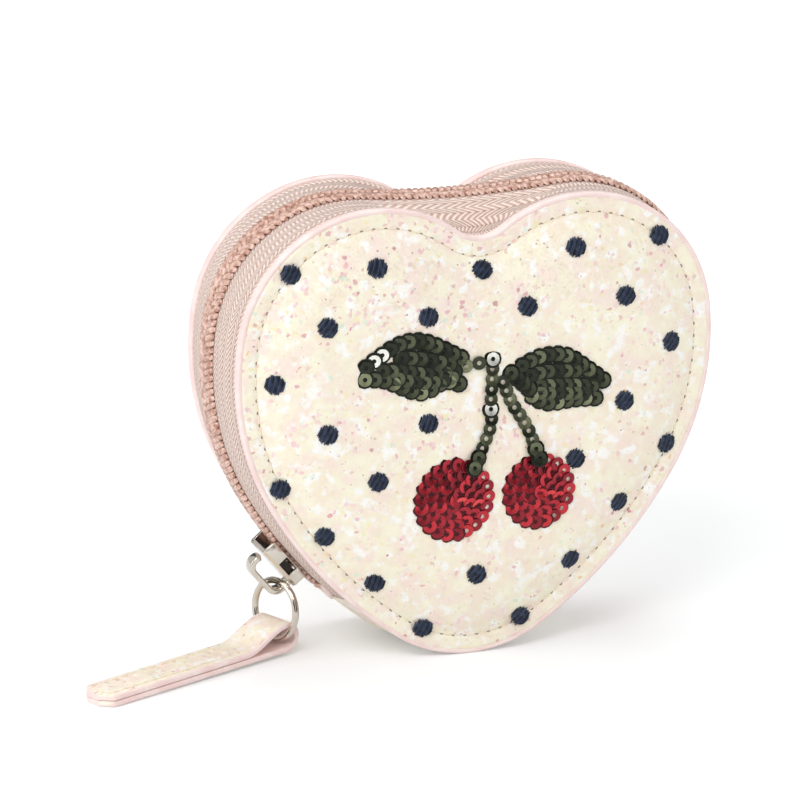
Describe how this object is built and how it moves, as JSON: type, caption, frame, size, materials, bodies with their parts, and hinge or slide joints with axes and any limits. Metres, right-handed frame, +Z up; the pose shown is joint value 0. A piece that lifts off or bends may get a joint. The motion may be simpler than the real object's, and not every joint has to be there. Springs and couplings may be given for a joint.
{
  "type": "zip coin purse",
  "caption": "Small heart-shaped zip purse with a padded dotted front, a sequin cherry motif, a zip round the sides and a strap pull on a ring.",
  "frame": {"origin": "middle of the flat back face, halfway up", "axes": "+Z up along the heart's height from tip to lobes, front face toward -Y, +X to the right seen from the front"},
  "size_m": [0.1394, 0.0384, 0.0969],
  "materials": {
    "blush_edge_paint": "painted edge, satin",
    "cream_lining": "plain lining",
    "grey_board": "stiffener board",
    "ivory_glitter": "glitter-coated fabric on a thin backing",
    "navy_thread": "satin-stitched thread",
    "olive_sequin": "metallised sequins",
    "polished_nickel": "polished nickel plate",
    "red_sequin": "metallised sequins",
    "rose_nylon_coil": "dyed nylon coil",
    "rose_tape": "woven polyester tape, matt",
    "white_foam": "soft thin foam"
  },
  "bodies": {
    "back_half": {"back_board": "grey_board", "back_edge_paint": "blush_edge_paint", "back_lining": "cream_lining", "back_panel": "ivory_glitter", "bottom_gusset": "ivory_glitter", "bottom_gusset_lining": "cream_lining", "zip_coil_back": "rose_nylon_coil", "zip_coil_tail_left": "rose_nylon_coil", "zip_coil_tail_right": "rose_nylon_coil", "zip_end_tab_left": "rose_tape", "zip_end_tab_right": "rose_tape", "zip_tape_back": "rose_tape", "zip_tape_tail_left": "rose_tape", "zip_tape_tail_right": "rose_tape"},
    "front_half": {"dot_01": "navy_thread", "dot_02": "navy_thread", "dot_03": "navy_thread", "dot_04": "navy_thread", "dot_05": "navy_thread", "dot_06": "navy_thread", "dot_07": "navy_thread", "dot_08": "navy_thread", "dot_09": "navy_thread", "dot_10": "navy_thread", "dot_11": "navy_thread", "dot_12": "navy_thread", "dot_13": "navy_thread", "dot_14": "navy_thread", "dot_15": "navy_thread", "dot_16": "navy_thread", "dot_17": "navy_thread", "dot_18": "navy_thread", "dot_19": "navy_thread", "dot_20": "navy_thread", "dot_21": "navy_thread", "dot_22": "navy_thread", "dot_23": "navy_thread", "dot_24": "navy_thread", "dot_25": "navy_thread", "front_board": "grey_board", "front_edge_paint": "blush_edge_paint", "front_lining": "cream_lining", "front_padding": "white_foam", "front_panel": "ivory_glitter", "sequin_cherry_left": "red_sequin", "sequin_cherry_right": "red_sequin", "sequin_leaf_left": "olive_sequin", "sequin_leaf_right": "olive_sequin", "sequin_stem_left": "olive_sequin", "sequin_stem_right": "olive_sequin", "zip_coil_front": "rose_nylon_coil", "zip_tape_front": "rose_tape"},
    "slider": {"slider_body": "polished_nickel"},
    "ring": {"pull_ring": "polished_nickel"},
    "tab": {"pull_tab": "ivory_glitter"}
  },
  "joints": [
    {"name": "purse_open", "type": "hinge", "parent": "back_half", "child": "front_half", "pos_m": [0, -0.0268, -0.04776], "axis": [1, 0, 0], "range_deg": [0, 45]},
    {"name": "slider_travel", "type": "hinge", "parent": "back_half", "child": "slider", "pos_m": [0.02256, -0.01475, 0.02266], "axis": [0, 1, 0], "range_deg": [0, 30]},
    {"name": "ring_swing", "type": "hinge", "parent": "slider", "child": "ring", "pos_m": [-0.03728, -0.01475, -0.03284], "axis": [-0.389, 0.9153, -0.1041], "range_deg": [-30, 45]},
    {"name": "tab_swing", "type": "hinge", "parent": "ring", "child": "tab", "pos_m": [-0.03792, -0.0157, -0.04377], "axis": [-0.3827, 0.9239, 0], "range_deg": [-90, 25]}
  ]
}
